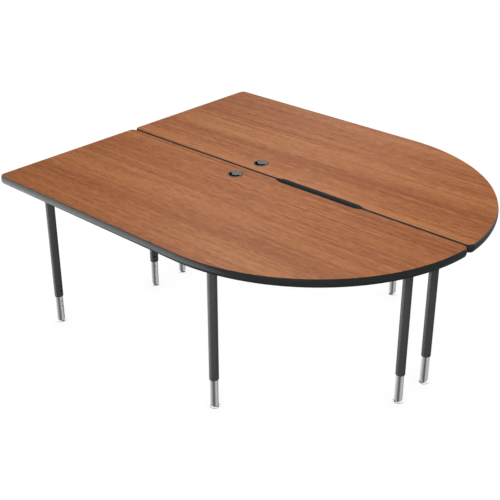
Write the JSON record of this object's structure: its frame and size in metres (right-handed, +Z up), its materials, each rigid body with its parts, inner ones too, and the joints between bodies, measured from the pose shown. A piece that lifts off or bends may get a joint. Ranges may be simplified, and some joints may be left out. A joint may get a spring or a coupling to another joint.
{
  "type": "collaboration table",
  "caption": "Large table of two half tops joined along a seam, square at one end and round at the other, with cable slot, grommets and height-adjustable tube legs.",
  "frame": {"origin": "on the floor, under the centre of the top", "axes": "+X along the seam towards the round end, +Y across to the back half, +Z up"},
  "size_m": [1.7671, 1.4718, 0.7053],
  "materials": {
    "wood_laminate": "satin wood-grain laminate",
    "particle_board": "raw particle board",
    "backer_sheet": "plain backer sheet",
    "edge_band": "satin charcoal moulding",
    "grommet_plastic": "fine textured grey plastic",
    "powder_coat": "dark grey satin powder coat",
    "bushing_plastic": "black nylon",
    "chrome_tube": "chromed steel tube",
    "chrome_glide": "bright chromed steel",
    "black_steel": "black oxide steel",
    "zinc_steel": "zinc plated steel"
  },
  "bodies": {
    "table": {"front_core_board": "particle_board", "front_laminate": "wood_laminate", "front_backer_sheet": "backer_sheet", "front_edge_band": "edge_band", "front_grommet_sleeve": "grommet_plastic", "front_leg_plate_screws": "zinc_steel", "front_leg_set_screws": "black_steel", "front_outer_left_leg_tube": "powder_coat", "front_outer_left_leg_plate": "powder_coat", "front_outer_left_leg_bushing": "bushing_plastic", "front_inner_left_leg_tube": "powder_coat", "front_inner_left_leg_plate": "powder_coat", "front_inner_left_leg_bushing": "bushing_plastic", "front_outer_right_leg_tube": "powder_coat", "front_outer_right_leg_plate": "powder_coat", "front_outer_right_leg_bushing": "bushing_plastic", "front_inner_right_leg_tube": "powder_coat", "front_inner_right_leg_plate": "powder_coat", "front_inner_right_leg_bushing": "bushing_plastic", "back_core_board": "particle_board", "back_laminate": "wood_laminate", "back_backer_sheet": "backer_sheet", "back_edge_band": "edge_band", "back_grommet_sleeve": "grommet_plastic", "back_leg_plate_screws": "zinc_steel", "back_leg_set_screws": "black_steel", "back_outer_left_leg_tube": "powder_coat", "back_outer_left_leg_plate": "powder_coat", "back_outer_left_leg_bushing": "bushing_plastic", "back_inner_left_leg_tube": "powder_coat", "back_inner_left_leg_plate": "powder_coat", "back_inner_left_leg_bushing": "bushing_plastic", "back_outer_right_leg_tube": "powder_coat", "back_outer_right_leg_plate": "powder_coat", "back_outer_right_leg_bushing": "bushing_plastic", "back_inner_right_leg_tube": "powder_coat", "back_inner_right_leg_plate": "powder_coat", "back_inner_right_leg_bushing": "bushing_plastic", "left_joining_plate": "zinc_steel", "right_joining_plate": "zinc_steel", "joining_plate_screws": "zinc_steel"},
    "front_cap": {"front_grommet_cap": "grommet_plastic"},
    "front_outer_left_foot": {"front_outer_left_leg_insert": "chrome_tube", "front_outer_left_glide": "chrome_glide"},
    "front_inner_left_foot": {"front_inner_left_leg_insert": "chrome_tube", "front_inner_left_glide": "chrome_glide"},
    "front_outer_right_foot": {"front_outer_right_leg_insert": "chrome_tube", "front_outer_right_glide": "chrome_glide"},
    "front_inner_right_foot": {"front_inner_right_leg_insert": "chrome_tube", "front_inner_right_glide": "chrome_glide"},
    "back_cap": {"back_grommet_cap": "grommet_plastic"},
    "back_outer_left_foot": {"back_outer_left_leg_insert": "chrome_tube", "back_outer_left_glide": "chrome_glide"},
    "back_inner_left_foot": {"back_inner_left_leg_insert": "chrome_tube", "back_inner_left_glide": "chrome_glide"},
    "back_outer_right_foot": {"back_outer_right_leg_insert": "chrome_tube", "back_outer_right_glide": "chrome_glide"},
    "back_inner_right_foot": {"back_inner_right_leg_insert": "chrome_tube", "back_inner_right_glide": "chrome_glide"}
  },
  "joints": [
    {"name": "front_cap_turn", "type": "hinge", "parent": "table", "child": "front_cap", "pos_m": [-0.173, -0.0785, 0.703], "axis": [0, 0, 1], "continuous": true},
    {"name": "front_outer_left_leg_slide", "type": "slide", "parent": "table", "child": "front_outer_left_foot", "axis": [0, 0, -1], "range_m": [-0.1016, 0.127]},
    {"name": "front_inner_left_leg_slide", "type": "slide", "parent": "table", "child": "front_inner_left_foot", "axis": [0, 0, -1], "range_m": [-0.1016, 0.127]},
    {"name": "front_outer_right_leg_slide", "type": "slide", "parent": "table", "child": "front_outer_right_foot", "axis": [0, 0, -1], "range_m": [-0.1016, 0.127]},
    {"name": "front_inner_right_leg_slide", "type": "slide", "parent": "table", "child": "front_inner_right_foot", "axis": [0, 0, -1], "range_m": [-0.1016, 0.127]},
    {"name": "back_cap_turn", "type": "hinge", "parent": "table", "child": "back_cap", "pos_m": [-0.173, 0.0785, 0.703], "axis": [0, 0, 1], "continuous": true},
    {"name": "back_outer_left_leg_slide", "type": "slide", "parent": "table", "child": "back_outer_left_foot", "axis": [0, 0, -1], "range_m": [-0.1016, 0.127]},
    {"name": "back_inner_left_leg_slide", "type": "slide", "parent": "table", "child": "back_inner_left_foot", "axis": [0, 0, -1], "range_m": [-0.1016, 0.127]},
    {"name": "back_outer_right_leg_slide", "type": "slide", "parent": "table", "child": "back_outer_right_foot", "axis": [0, 0, -1], "range_m": [-0.1016, 0.127]},
    {"name": "back_inner_right_leg_slide", "type": "slide", "parent": "table", "child": "back_inner_right_foot", "axis": [0, 0, -1], "range_m": [-0.1016, 0.127]}
  ]
}
